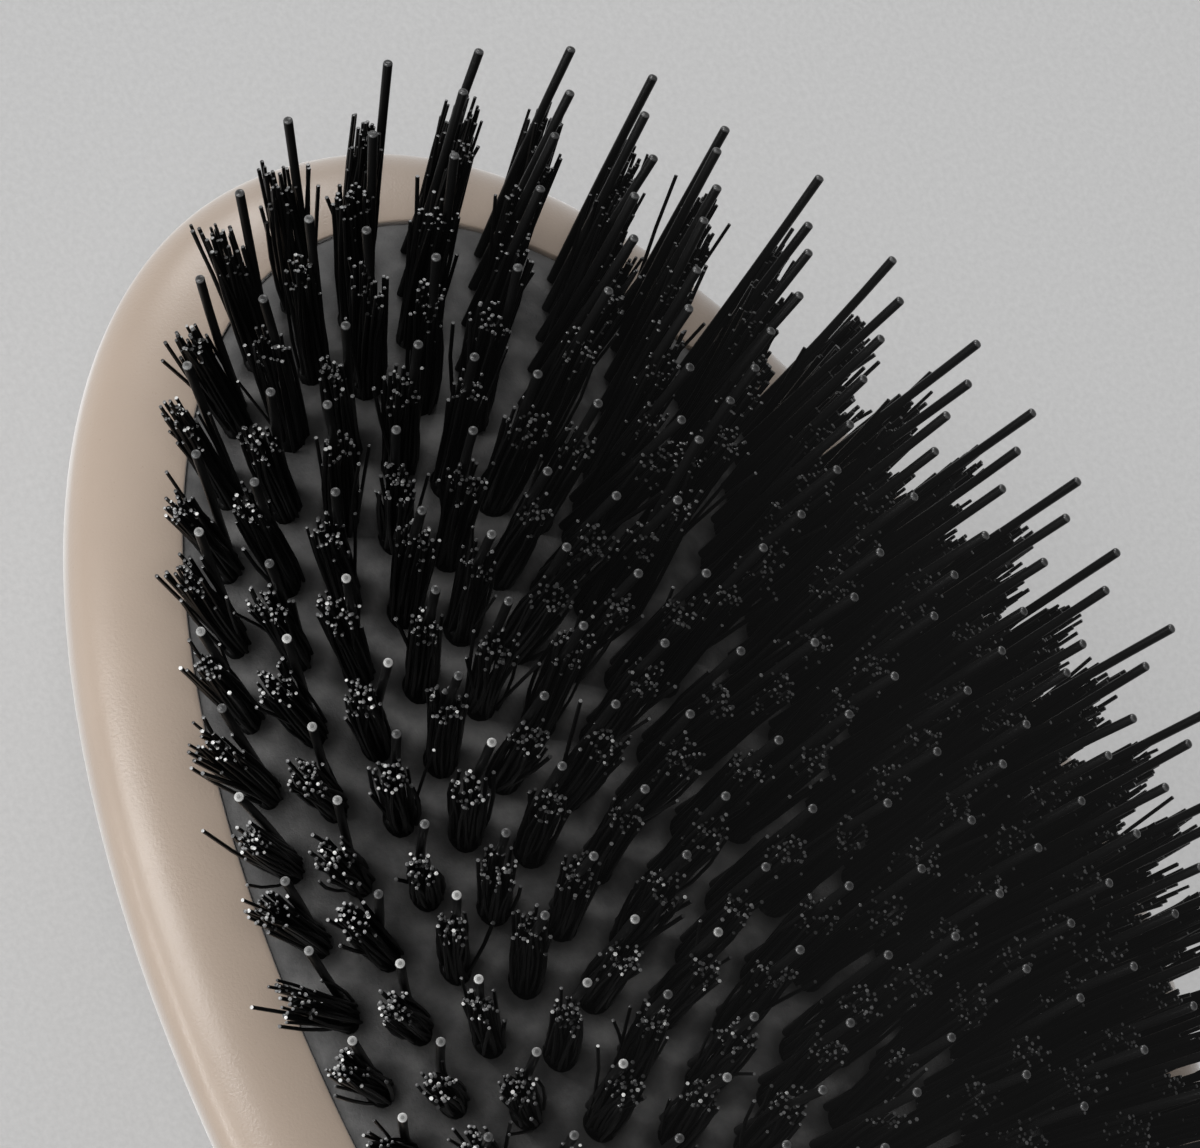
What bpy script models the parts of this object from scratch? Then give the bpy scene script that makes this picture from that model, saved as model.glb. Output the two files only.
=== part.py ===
"""Oval cushion hairbrush: a hollow moulded body, an air cushion of rubber and eight rows of tufts.

The brush lies on its back. X is its width, +Y points to the head's tip and +Z up, along the bristles.
The origin is on the resting plane, under the middle of the brush. Sizes are in metres.
"""

import math

import bmesh
import bpy
import numpy as np
from mathutils import Matrix, Vector

# Fits
GAP = 0.0003

# Plan of the cushion: two half superellipses that meet at its widest line
TIP_Y = 0.116
END_Y = -0.116
RIM_WIDTH = 0.0062
PAD_HALF_WIDTH = 0.027
PAD_TIP_LENGTH = 0.0525
PAD_HEEL_LENGTH = 0.038
OVAL_POWER = 2.1

# Heights of the head, from the resting plane
RIM_Z = 0.0175
SIDE_Z = 0.0137
FLOOR_Z = 0.0080
FLOOR_THICKNESS = 0.0020
SPLIT_Z = 0.0042
SHOULDER_RADIUS = 0.0093
BACK_POWER = 1.75
BACK_FLAT = 0.0008

# Heel, neck and grip
HEEL_LENGTH = 0.0455
HEEL_END_Y = 0.034
NECK_Y = -0.012
NECK_HALF_WIDTH = 0.0078
NECK_TOP_Z = 0.0152
NECK_SIDE_Z = 0.0086
NECK_BACK_Z = 0.0010
GRIP_Y = -0.078
GRIP_HALF_WIDTH = 0.0124
GRIP_TOP_Z = 0.0160
GRIP_SIDE_Z = 0.0078
END_LENGTH = 0.020
END_TOP_Z = 0.0140
SPINE_START = 0.2
SPINE_END = 1.2
SPINE_LAG = 0.375

# Walls of the hollow body
WALL = 0.0020
HEAD_WALL = 0.0135
HOLLOW_RISE = 0.5
CEILING_SIDE = 0.83
TONGUE_THICKNESS = 0.0012
TONGUE_HEIGHT = 0.0012
RIB_THICKNESS = 0.0012
RIB_HEIGHT = 0.0012
RIB_ROOT = 0.0006
RIB_COUNT = 5
RIB_SHARE = 0.38

# Cushion
CROWN = 0.0086
CROWN_POWER = 1.8
EDGE_DROP = 0.0003
RUBBER = 0.0016
SKIRT_THICKNESS = 0.0008
EDGE_ROUND = 0.0005
BEAD_THICKNESS = 0.0017
BEAD_HEIGHT = 0.0015
CLOTH_THICKNESS = 0.0008
CLOTH_INSET = 0.0021
VENT_RADIUS = 0.0005

# Frame that holds the bead
FRAME_WIDTH = 0.0022
FRAME_LIP = 0.0014

# Tufts
ROW_COUNT = 8
FIRST_ROW_INSET = 0.00255
TUFT_PITCH = 0.00495
BUNCH_WIDTH = 0.0015
BUNCH_SPREAD = 1.25
BUNCH_LENGTH = 0.0115
BUNCH_SHIFT = 0.0004
PIN_RADIUS = 0.0003
PIN_LENGTH = 0.0156
PIN_SHIFT = 0.0012
ROOT_DEPTH = 0.0006
BUNCH_LEAN = 0.5
LEAN_FADE = 0.9
PIN_LEAN = 0.12
PIN_BACK = 0.02
SWING = 0.25
SWING_PLACE = -0.61
SWING_WIDTH = 0.3
VENT_ROW = 6

# Facets
OVAL_STEPS = 56
BAND_STEPS = 28
TIP_STEPS = 12
SIDE_STEPS = 20
END_STEPS = 6
TOP_STEPS = 8
BACK_STEPS = 7
CLOTH_STEPS = 6
INNER_STEPS = 3
FLAT_ANGLE = math.radians(1.5)
WELD = 1e-6
SLIVER = 1e-7
NEARBY = 0.02

WIDEST_Y = TIP_Y - RIM_WIDTH - PAD_TIP_LENGTH
HEAD_HALF_WIDTH = PAD_HALF_WIDTH + RIM_WIDTH
HEAD_TIP_LENGTH = PAD_TIP_LENGTH + RIM_WIDTH
EDGE_Z = RIM_Z - EDGE_DROP
CEILING_Z = FLOOR_Z - FLOOR_THICKNESS
SKIRT_INSET = GAP + SKIRT_THICKNESS
ROW_STEP = (PAD_HALF_WIDTH - FIRST_ROW_INSET) / (ROW_COUNT - 0.5)

SECTORS = {
    4: ("heel_left", "heel_right", "tip_right", "tip_left"),
    2: ("heel", "tip"),
    1: ("",),
}
SECTORS_OF_ROW = (4, 4, 4, 4, 2, 2, 1, 1)


def clear_scene():
    for obj in list(bpy.data.objects):
        bpy.data.objects.remove(obj, do_unlink=True)


def new_collection(name, cutters=False):
    collection = bpy.data.collections.new(name)
    bpy.context.scene.collection.children.link(collection)
    collection.hide_render = cutters
    return collection


def make_material(name, colour, roughness, metallic=0.0):
    material = bpy.data.materials.new(name)
    material.use_nodes = True
    shader = material.node_tree.nodes["Principled BSDF"]
    shader.inputs["Base Color"].default_value = (*colour, 1.0)
    shader.inputs["Roughness"].default_value = roughness
    shader.inputs["Metallic"].default_value = metallic
    return material


def add_object(name, mesh, collection, material=None):
    obj = bpy.data.objects.new(name, mesh)
    collection.objects.link(obj)
    if material:
        mesh.materials.clear()
        mesh.materials.append(material)
    return obj


def make_cutter(obj):
    obj.hide_render = True
    obj.display_type = "WIRE"
    return obj


def cut(obj, other, operation="DIFFERENCE"):
    modifier = obj.modifiers.new(other.name, "BOOLEAN")
    modifier.operation = operation
    modifier.object = other
    return modifier


def freeze(obj):
    """Turns the object's modifiers into its mesh."""
    graph = bpy.context.evaluated_depsgraph_get()
    mesh = bpy.data.meshes.new_from_object(obj.evaluated_get(graph))
    obj.modifiers.clear()
    obj.data = mesh
    return obj


def merge_flat_faces(mesh):
    """Joins the slivers that a Boolean leaves on faces that are almost flat."""
    bm = bmesh.new()
    bm.from_mesh(mesh)
    bmesh.ops.dissolve_limit(bm, angle_limit=FLAT_ANGLE, verts=bm.verts, edges=bm.edges)
    bm.to_mesh(mesh)
    bm.free()


def mesh_from_grid(name, points, wrap_u=False, wrap_v=False):
    """A loft through points of shape (stations, section points, 3). A wrapped direction closes on itself."""
    count_u, count_v = points.shape[:2]
    steps_u = count_u if wrap_u else count_u - 1
    steps_v = count_v if wrap_v else count_v - 1
    faces = []
    for u in range(steps_u):
        for v in range(steps_v):
            a = u * count_v + v
            b = ((u + 1) % count_u) * count_v + v
            c = ((u + 1) % count_u) * count_v + (v + 1) % count_v
            d = u * count_v + (v + 1) % count_v
            faces.append((a, b, c, d))
    mesh = bpy.data.meshes.new(name)
    mesh.from_pydata(points.reshape(-1, 3).tolist(), [], faces)
    return mesh


def tidy_mesh(mesh, triangles=False):
    """Welds coincident points, drops faces of no size and turns the faces outward."""
    bm = bmesh.new()
    bm.from_mesh(mesh)
    bmesh.ops.remove_doubles(bm, verts=bm.verts, dist=WELD)
    bmesh.ops.dissolve_degenerate(bm, edges=bm.edges, dist=SLIVER)
    if triangles:
        bmesh.ops.triangulate(bm, faces=bm.faces)
    bmesh.ops.recalc_face_normals(bm, faces=bm.faces)
    bm.to_mesh(mesh)
    bm.free()


def smooth(obj, degrees=35):
    obj.data.shade_smooth()
    obj.data.set_sharp_from_angle(angle=math.radians(degrees))


def plate(name, outlines, low, high, collection):
    """A flat outline, or one with a hole where there are two, as a solid from low to high."""
    curve = bpy.data.curves.new(name, "CURVE")
    curve.dimensions = "2D"
    curve.fill_mode = "BOTH"
    curve.extrude = (high - low) / 2
    for x, y in outlines:
        spline = curve.splines.new("POLY")
        spline.points.add(len(x) - 1)
        for point, px, py in zip(spline.points, x, y):
            point.co = (px, py, 0.0, 1.0)
        spline.use_cyclic_u = True
    guide = bpy.data.objects.new(name + "_guide", curve)
    guide.location.z = (low + high) / 2
    collection.objects.link(guide)
    bpy.context.view_layer.update()
    graph = bpy.context.evaluated_depsgraph_get()
    mesh = bpy.data.meshes.new_from_object(guide.evaluated_get(graph))
    mesh.transform(guide.matrix_world)
    bpy.data.objects.remove(guide, do_unlink=True)
    tidy_mesh(mesh)
    return add_object(name, mesh, collection)


def box(name, low, high, collection):
    bm = bmesh.new()
    bmesh.ops.create_cube(bm, size=1.0)
    low, high = Vector(low), Vector(high)
    size = high - low
    bmesh.ops.transform(
        bm, matrix=Matrix.Translation((low + high) / 2) @ Matrix.Diagonal((*size, 1.0)), verts=bm.verts
    )
    mesh = bpy.data.meshes.new(name)
    bm.to_mesh(mesh)
    bm.free()
    return add_object(name, mesh, collection)


def ease(y, stops):
    """A value along Y that runs level at each stop and smoothly between the stops."""
    ys = np.array([stop[0] for stop in stops])
    values = np.array([stop[1] for stop in stops])
    index = np.clip(np.searchsorted(ys, y) - 1, 0, len(ys) - 2)
    share = np.clip((y - ys[index]) / (ys[index + 1] - ys[index]), 0.0, 1.0)
    share = share * share * (3.0 - 2.0 * share)
    return values[index] + (values[index + 1] - values[index]) * share


# Cushion plan and crown


def oval(angle, inset):
    """The cushion's outline drawn in by inset. Angle 0 is the tip, and a quarter turn is the left side."""
    s, c = np.sin(angle), np.cos(angle)
    power = 2.0 / OVAL_POWER
    length = np.where(c >= 0, PAD_TIP_LENGTH, PAD_HEEL_LENGTH) - inset
    x = -(PAD_HALF_WIDTH - inset) * np.sign(s) * np.abs(s) ** power
    y = WIDEST_Y + length * np.sign(c) * np.abs(c) ** power
    return x, y


def crown_z(inset):
    return EDGE_Z + CROWN * (1.0 - (1.0 - inset / PAD_HALF_WIDTH) ** CROWN_POWER)


def crown_slope(inset):
    share = 1.0 - inset / PAD_HALF_WIDTH
    return CROWN * CROWN_POWER * share ** (CROWN_POWER - 1.0) / PAD_HALF_WIDTH


def oval_angles(steps=OVAL_STEPS):
    return np.arange(steps) * (2.0 * math.pi / steps)


def ring(angles, profile):
    """Points of a profile of (inset, z) pairs, carried along the cushion's outline through the angles."""
    points = np.empty((len(angles), len(profile), 3))
    for index, (inset, z) in enumerate(profile):
        points[:, index, 0], points[:, index, 1] = oval(angles, inset)
        points[:, index, 2] = z
    return points


def sweep(name, profile, steps, hollow=True):
    """A profile carried all the way round. One that isn't hollow starts and ends on the middle line."""
    mesh = mesh_from_grid(name, ring(oval_angles(steps), profile), wrap_u=True, wrap_v=hollow)
    tidy_mesh(mesh)
    return mesh


# Body


def half_width(y):
    """Half the body's width from the head's widest line to the start of the rounded end."""
    heel = HEAD_HALF_WIDTH * (1.0 - (np.clip(WIDEST_Y - y, 0.0, HEEL_LENGTH) / HEEL_LENGTH) ** 2) ** 0.5
    start_fall = WIDEST_Y - HEEL_END_Y
    start = HEAD_HALF_WIDTH * (1.0 - (start_fall / HEEL_LENGTH) ** 2) ** 0.5
    slope = HEAD_HALF_WIDTH**2 * start_fall / (HEEL_LENGTH**2 * start)
    span = HEEL_END_Y - NECK_Y
    t = np.clip((HEEL_END_Y - y) / span, 0.0, 1.0)
    blend = (2 * t**3 - 3 * t**2 + 1) * start - (t**3 - 2 * t**2 + t) * span * slope
    blend = blend + (3 * t**2 - 2 * t**3) * NECK_HALF_WIDTH
    handle = ease(y, [(GRIP_Y, GRIP_HALF_WIDTH), (NECK_Y, NECK_HALF_WIDTH)])
    return np.where(y > HEEL_END_Y, heel, np.where(y > NECK_Y, blend, handle))


def body_outline():
    """Points of the right half of the body's plan, from the tip to the end of the handle."""
    power = 2.0 / OVAL_POWER
    angle = np.linspace(0.0, math.pi / 2, TIP_STEPS + 1)
    tip_x = HEAD_HALF_WIDTH * np.sin(angle) ** power
    tip_y = WIDEST_Y + HEAD_TIP_LENGTH * np.cos(angle) ** power
    side_y = np.linspace(WIDEST_Y, END_Y + END_LENGTH, SIDE_STEPS + 1)[1:]
    angle = np.linspace(0.0, math.pi / 2, END_STEPS + 1)[1:]
    end_x = half_width(np.array(END_Y + END_LENGTH)) * np.cos(angle)
    end_y = END_Y + END_LENGTH * (1.0 - np.sin(angle))
    tip_y[-1] = WIDEST_Y
    end_x[-1] = 0.0
    tip_x[0] = 0.0
    x = np.concatenate([tip_x, half_width(side_y), end_x])
    y = np.concatenate([tip_y, side_y, end_y])
    return x, y


def spine_y(y):
    """Where the section through an outline point meets the middle plane; it lags near both rounded ends."""
    tip_start = WIDEST_Y + SPINE_START * HEAD_TIP_LENGTH
    t = np.clip((y - tip_start) / (TIP_Y - tip_start), 0.0, 1.0)
    y_tip = tip_start + (TIP_Y - tip_start) * (t - SPINE_LAG * t**2)
    end_start = END_Y + SPINE_END * END_LENGTH
    t = np.clip((end_start - y) / (end_start - END_Y), 0.0, 1.0)
    y_end = end_start - (end_start - END_Y) * (t - SPINE_LAG * t**2)
    return np.where(y > tip_start, y_tip, np.where(y < end_start, y_end, y))


def outer_form():
    """The body's outside: per outline point its inset, crest, side and back heights and shoulder radius."""
    _, y = body_outline()
    shoulder = 1.0 - RIM_WIDTH / SHOULDER_RADIUS
    head_top = SIDE_Z + (RIM_Z - SIDE_Z) / math.sqrt(1.0 - shoulder**2)
    tops = [(END_Y, END_TOP_Z), (GRIP_Y, GRIP_TOP_Z), (NECK_Y, NECK_TOP_Z), (HEEL_END_Y, head_top)]
    return {
        "inset": np.zeros_like(y),
        "top": ease(y, tops),
        "side": ease(y, [(GRIP_Y, GRIP_SIDE_Z), (NECK_Y, NECK_SIDE_Z), (HEEL_END_Y, SIDE_Z)]),
        "back": ease(y, [(GRIP_Y, -BACK_FLAT), (NECK_Y, NECK_BACK_Z), (HEEL_END_Y, -BACK_FLAT)]),
        "shoulder": ease(y, [(NECK_Y, 2.0 * SHOULDER_RADIUS), (HEEL_END_Y, SHOULDER_RADIUS)]),
    }


def inner_form():
    """The hollow: a shallow space under the recess's floor that opens into the handle."""
    _, y = body_outline()
    outer = outer_form()
    heel_y = WIDEST_Y - PAD_HEEL_LENGTH
    rise = [(heel_y - HOLLOW_RISE * HEEL_LENGTH, 0.0), (heel_y - WALL, 1.0)]
    share = ease(y, rise)
    return {
        "inset": WALL + (HEAD_WALL - WALL) * share,
        "top": (outer["top"] - WALL) * (1.0 - share) + CEILING_Z * share,
        "side": outer["side"] * (1.0 - share) + CEILING_SIDE * CEILING_Z * share,
        "back": np.maximum(outer["back"], 0.0) + WALL,
        "shoulder": outer["shoulder"] * (1.0 - share) + WALL * share,
    }


def form_lines(form):
    """Spine and edge points of each station, as plan vectors."""
    x, y = body_outline()
    spine = np.stack([np.zeros_like(y), spine_y(y)], axis=1)
    reach = np.stack([x, y], axis=1) - spine
    length = np.linalg.norm(reach, axis=1)
    edge = spine + reach * ((length - form["inset"]) / length)[:, None]
    edge[0, 0] = edge[-1, 0] = 0.0
    return spine, edge, length - form["inset"]


def form_sections(form, top_steps, back_steps):
    """Sections from the spine's crest round the edge to its foot: a share of the reach and a height each."""
    _, _, length = form_lines(form)
    radius = np.minimum(form["shoulder"], length)
    sections = []
    for share in np.sin(np.linspace(0.0, math.pi / 2, top_steps + 1)):
        depth = np.clip((1.0 - share) * length / radius, 0.0, 1.0)
        z = form["side"] + (form["top"] - form["side"]) * np.sqrt(1.0 - (1.0 - depth) ** 2)
        sections.append((share, z))
    for share in np.cos(np.linspace(0.0, math.pi / 2, back_steps + 1))[1:]:
        fall = (1.0 - share**BACK_POWER) ** (1.0 / BACK_POWER)
        z = form["side"] - (form["side"] - form["back"]) * fall
        sections.append((share, np.maximum(z, 0.0)))
    return sections


def form_solid(name, form, top_steps, back_steps, collection, material=None):
    """Half of the form as a grid of sections, closed by a Mirror modifier."""
    spine, edge, _ = form_lines(form)
    sections = form_sections(form, top_steps, back_steps)
    points = np.empty((len(spine), len(sections), 3))
    for index, (share, z) in enumerate(sections):
        points[:, index, :2] = spine + (edge - spine) * share
        points[:, index, 2] = z
    mesh = mesh_from_grid(name, points)
    obj = add_object(name, mesh, collection, material)
    mirror = obj.modifiers.new("Mirror", "MIRROR")
    mirror.merge_threshold = 0.00001
    freeze(obj)
    tidy_mesh(obj.data, triangles=True)
    return obj


def level_outline(form, back_steps, z, inset):
    """The outline of the form's facets at height z on its back side, drawn in by inset."""
    spine, edge, length = form_lines(form)
    sections = form_sections(form, 1, back_steps)[1:]
    shares = [share for share, _ in sections]
    heights = np.array([heights for _, heights in sections])
    share = np.array([np.interp(-z, -heights[:, index], shares) for index in range(len(length))])
    right = spine + (edge - spine) * (share - inset / length)[:, None]
    left = right[-2:0:-1] * np.array([-1.0, 1.0])
    both = np.concatenate([right, left])
    return both[:, 0], both[:, 1]


def make_body(parts, cutters, material):
    """The front shell with the cushion's recess, and the back cover with its tongue and ribs."""
    hollow = form_solid("hollow", inner_form(), INNER_STEPS, INNER_STEPS, cutters)
    make_cutter(hollow)
    for index in range(RIB_COUNT):
        y = HEEL_END_Y + (TIP_Y - HEAD_HALF_WIDTH - HEEL_END_Y) * index / (RIB_COUNT - 1)
        reach = RIB_SHARE * float(half_width(np.array(min(y, WIDEST_Y))))
        rib = box(
            f"rib_{index + 1}",
            (-reach, y - RIB_THICKNESS / 2, WALL - RIB_ROOT),
            (reach, y + RIB_THICKNESS / 2, WALL + RIB_HEIGHT),
            cutters,
        )
        cut(hollow, make_cutter(rib))
    freeze(hollow)
    far = TIP_Y - END_Y
    below = make_cutter(
        box("below_split", (-far, -far, -far), (far, far, SPLIT_Z + GAP / 2), cutters)
    )
    above = make_cutter(
        box("above_split", (-far, -far, SPLIT_Z - GAP / 2), (far, far, far), cutters)
    )
    recess = make_cutter(
        plate("recess", [oval(oval_angles(), 0.0)], FLOOR_Z, RIM_Z + CROWN, cutters)
    )

    shell = form_solid("front_shell", outer_form(), TOP_STEPS, BACK_STEPS, parts, material)
    cut(shell, below)
    cut(shell, hollow)
    cut(shell, recess)

    cover = form_solid("back_cover", outer_form(), TOP_STEPS, BACK_STEPS, parts, material)
    cut(cover, above)
    cut(cover, hollow)
    form = inner_form()
    low = SPLIT_Z - TONGUE_HEIGHT
    high = SPLIT_Z + TONGUE_HEIGHT
    tongue = plate(
        "tongue",
        [
            level_outline(form, INNER_STEPS, SPLIT_Z, GAP),
            level_outline(form, INNER_STEPS, SPLIT_Z, GAP + TONGUE_THICKNESS),
        ],
        low,
        high,
        cutters,
    )
    cut(cover, make_cutter(tongue), "UNION")
    for obj in (shell, cover):
        freeze(obj)
        smooth(obj)


# Cushion


def make_skirt(parts, material):
    """The cushion's margin: its rolled edge, and the skirt and bead that go down to the recess's foot."""
    foot = FLOOR_Z + GAP
    bead_top = foot + BEAD_HEIGHT
    edge = [
        (GAP + EDGE_ROUND * (1.0 - math.cos(turn)), EDGE_Z - EDGE_ROUND * (1.0 - math.sin(turn)))
        for turn in (0.0, math.pi / 4)
    ]
    profile = [
        (GAP, foot),
        *edge,
        (GAP + EDGE_ROUND, crown_z(GAP + EDGE_ROUND)),
        (SKIRT_INSET, crown_z(SKIRT_INSET)),
        (SKIRT_INSET, bead_top),
        (GAP + BEAD_THICKNESS, bead_top),
        (GAP + BEAD_THICKNESS, foot),
    ]
    mesh = sweep("cushion_margin", profile, OVAL_STEPS)
    smooth(add_object("cushion_margin", mesh, parts, material), 50)


def make_frame(parts, material):
    """The stiff ring in the foot of the recess. Its lip lies over the bead."""
    foot = FLOOR_Z + GAP
    outer = GAP + BEAD_THICKNESS + GAP
    over_bead = SKIRT_INSET + GAP
    lip_z = foot + BEAD_HEIGHT + GAP
    profile = [
        (outer, foot),
        (outer, lip_z),
        (over_bead, lip_z),
        (over_bead, lip_z + FRAME_LIP),
        (outer + FRAME_WIDTH, lip_z + FRAME_LIP),
        (outer + FRAME_WIDTH, foot),
    ]
    mesh = sweep("cushion_frame", profile, OVAL_STEPS)
    add_object("cushion_frame", mesh, parts, material)


def make_cloth(parts, vent, material):
    """The cloth under the rubber: the same crown, set below the rows' slices."""
    drop = RUBBER + GAP
    insets = np.linspace(CLOTH_INSET, PAD_HALF_WIDTH, CLOTH_STEPS + 1)
    upper = [(inset, crown_z(inset) - drop) for inset in insets]
    lower = [(inset, z - CLOTH_THICKNESS) for inset, z in upper]
    mesh = sweep("backing_cloth", lower[::-1] + upper, OVAL_STEPS // 2, hollow=False)
    cloth = add_object("backing_cloth", mesh, parts, material)
    cut(cloth, vent)
    freeze(cloth)
    smooth(cloth, 50)


# Rows of tufts


def row_inset(row):
    return FIRST_ROW_INSET + row * ROW_STEP


class Row:
    """One oval of tufts, spaced evenly along it and half a pitch out of step with the rows beside it."""

    def __init__(self, row):
        self.inset = row_inset(row)
        self.fine = np.linspace(0.0, 2.0 * math.pi, 2881)
        x, y = oval(self.fine, self.inset)
        steps = np.hypot(np.diff(x), np.diff(y))
        self.arc = np.concatenate([[0.0], np.cumsum(steps)])
        self.left = np.interp(math.pi / 2, self.fine, self.arc)
        self.count = 4 * round(self.arc[-1] / (4 * TUFT_PITCH))
        self.pitch = self.arc[-1] / self.count
        self.shift = 0.5 * (row % 2)

    def angle(self, place):
        """The oval's angle at a place counted in pitches from the left side towards the heel."""
        arc = (self.left + (place + self.shift) * self.pitch) % self.arc[-1]
        return np.interp(arc, self.arc, self.fine)


def band_profile(row):
    """Section of the slice of cushion that a row stands in, from its inner foot round to its inner top."""
    outer = row_inset(row) - ROW_STEP / 2 + GAP / 2
    inner = row_inset(row) + ROW_STEP / 2 - GAP / 2
    if row == 0:
        outer = SKIRT_INSET + GAP
    if row == ROW_COUNT - 1:
        inner = PAD_HALF_WIDTH
    return [
        (inner, crown_z(inner) - RUBBER),
        (outer, crown_z(outer) - RUBBER),
        (outer, crown_z(outer)),
        (inner, crown_z(inner)),
    ]


def sector_mesh(name, row, start, stop):
    """The slice of cushion from one place along the row to another, closed at both ends."""
    line = Row(row)
    trim = GAP / 2 / line.pitch
    first, last = line.angle(np.array([start + trim, stop - trim]) - 0.5)
    if last < first:
        last += 2.0 * math.pi
    between = oval_angles(BAND_STEPS)
    between = np.concatenate([between, between + 2.0 * math.pi])
    margin = math.pi / (2 * BAND_STEPS)
    between = between[(between > first + margin) & (between < last - margin)]
    points = ring(np.concatenate([[first], between, [last]]), band_profile(row))
    mesh = mesh_from_grid(name, points, wrap_v=True)
    bm = bmesh.new()
    bm.from_mesh(mesh)
    bm.verts.ensure_lookup_table()
    bm.faces.new(bm.verts[:4])
    bm.faces.new(bm.verts[-4:])
    bm.to_mesh(mesh)
    bm.free()
    tidy_mesh(mesh)
    return mesh


def tuft_axes(line, place):
    """The tuft's root, and its level axes: along the row towards the tip, and outward across it."""
    x, y = oval(line.angle(np.array([place - NEARBY, place, place + NEARBY])), line.inset)
    root = Vector((x[1], y[1], crown_z(line.inset)))
    along = Vector((x[2] - x[0], y[2] - y[0], 0.0)).normalized()
    outward = Vector((along.y, -along.x, 0.0))
    if along.y < 0:
        along = -along
    return root, along, outward


def swing(line, place):
    """How far a tuft swings towards the tip: most at the tip's right, and hardly at all elsewhere."""
    turn = (line.angle(place) + math.pi) % (2.0 * math.pi) - math.pi
    return SWING * math.exp(-(((turn - SWING_PLACE) / SWING_WIDTH) ** 2))


def upward(line, along, outward, lean, forward):
    """The crown's normal, tipped outward by the share lean at the head's sides, and forward along the row."""
    slope = crown_slope(line.inset) * (1.0 + lean * abs(outward.x))
    return (Vector((0.0, 0.0, 1.0)) + outward * slope + along * forward).normalized()


def add_strand(bm, root, along, up, sides, low_radius, high_radius, length):
    """A strand that starts ROOT_DEPTH inside the rubber and ends length above it."""
    across = up.cross(along).normalized()
    axes = Matrix((across.cross(up), across, up)).transposed().to_4x4()
    middle = root + up * (length - ROOT_DEPTH) / 2
    bmesh.ops.create_cone(
        bm,
        cap_ends=True,
        segments=sides,
        radius1=low_radius,
        radius2=high_radius,
        depth=length + ROOT_DEPTH,
        matrix=Matrix.Translation(middle) @ axes @ Matrix.Rotation(math.pi / 4, 4, "Z"),
    )


def strands_mesh(name, row, places):
    """A bunch and a pin for each tuft of a slice. The pin stands beside the bunch, towards the tip."""
    line = Row(row)
    radius = BUNCH_WIDTH / math.sqrt(2.0)
    bm = bmesh.new()
    for place in places:
        root, along, outward = tuft_axes(line, place)
        forward = swing(line, place)
        up = upward(line, along, outward, BUNCH_LEAN * math.exp(-row / LEAN_FADE), forward)
        foot = root - along * BUNCH_SHIFT
        add_strand(bm, foot, along, up, 4, radius, radius * BUNCH_SPREAD, BUNCH_LENGTH)
        up = upward(line, along, outward, PIN_LEAN, forward - PIN_BACK)
        foot = root + along * PIN_SHIFT
        add_strand(bm, foot, along, up, 3, PIN_RADIUS, PIN_RADIUS, PIN_LENGTH)
    mesh = bpy.data.meshes.new(name)
    bm.to_mesh(mesh)
    bm.free()
    return mesh


def vent_cutter(cutters):
    """The air hole, between two tufts of a row at the cushion's heel."""
    line = Row(VENT_ROW)
    places = np.arange(line.count) + 0.5
    x, y = oval(line.angle(places), line.inset)
    pick = int(np.argmin(np.abs(x) + (y > WIDEST_Y)))
    bm = bmesh.new()
    bmesh.ops.create_cone(
        bm, cap_ends=True, segments=8, radius1=VENT_RADIUS, radius2=VENT_RADIUS, depth=2 * CROWN,
        matrix=Matrix.Translation((x[pick], y[pick], crown_z(line.inset))),
    )
    mesh = bpy.data.meshes.new("vent")
    bm.to_mesh(mesh)
    bm.free()
    return make_cutter(add_object("vent", mesh, cutters))


def make_rows(parts, cutters, vent, material):
    for row in range(ROW_COUNT):
        line = Row(row)
        sectors = SECTORS_OF_ROW[row]
        per_sector = line.count // sectors
        for index, word in enumerate(SECTORS[sectors]):
            name = f"tufts_row{row + 1}" + (f"_{word}" if word else "")
            start = index * per_sector
            stop = start + per_sector
            if sectors == 1:
                solid = row == ROW_COUNT - 1
                band = sweep(name, band_profile(row), BAND_STEPS, hollow=not solid)
            else:
                band = sector_mesh(name, row, start, stop)
            obj = add_object(name, band, parts, material)
            strands = strands_mesh(name + "_strands", row, range(start, stop))
            strands = make_cutter(add_object(name + "_strands", strands, cutters))
            cut(obj, strands, "UNION").use_self = True
            if row == VENT_ROW:
                cut(obj, vent)
            freeze(obj)
            merge_flat_faces(obj.data)
            bpy.data.objects.remove(strands, do_unlink=True)
            smooth(obj, 40)


def main():
    clear_scene()
    parts = new_collection("cushion_brush")
    cutters = new_collection("cutters", cutters=True)
    shell = make_material("soft_touch_plastic", (0.58, 0.49, 0.42), 0.42)
    rubber = make_material("cushion_rubber", (0.028, 0.028, 0.03), 0.62)
    bristle = make_material("bristle", (0.008, 0.008, 0.009), 0.25)
    frame = make_material("frame_plastic", (0.05, 0.05, 0.055), 0.5)
    cloth = make_material("backing_cloth", (0.30, 0.29, 0.27), 0.9)
    make_body(parts, cutters, shell)
    vent = vent_cutter(cutters)
    make_frame(parts, frame)
    make_skirt(parts, rubber)
    make_cloth(parts, vent, cloth)
    make_rows(parts, cutters, vent, bristle)


main()
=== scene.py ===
"""Looks of an oval cushion hairbrush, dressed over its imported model.

The brush lies on its back. X is its width, +Y points to the head's tip and +Z up, along the
bristles. Sizes are in metres. The formulas of the shapes repeat those of the part's source.
"""

import math

import bmesh
import bpy
import numpy as np
from mathutils import Matrix, Vector


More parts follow.
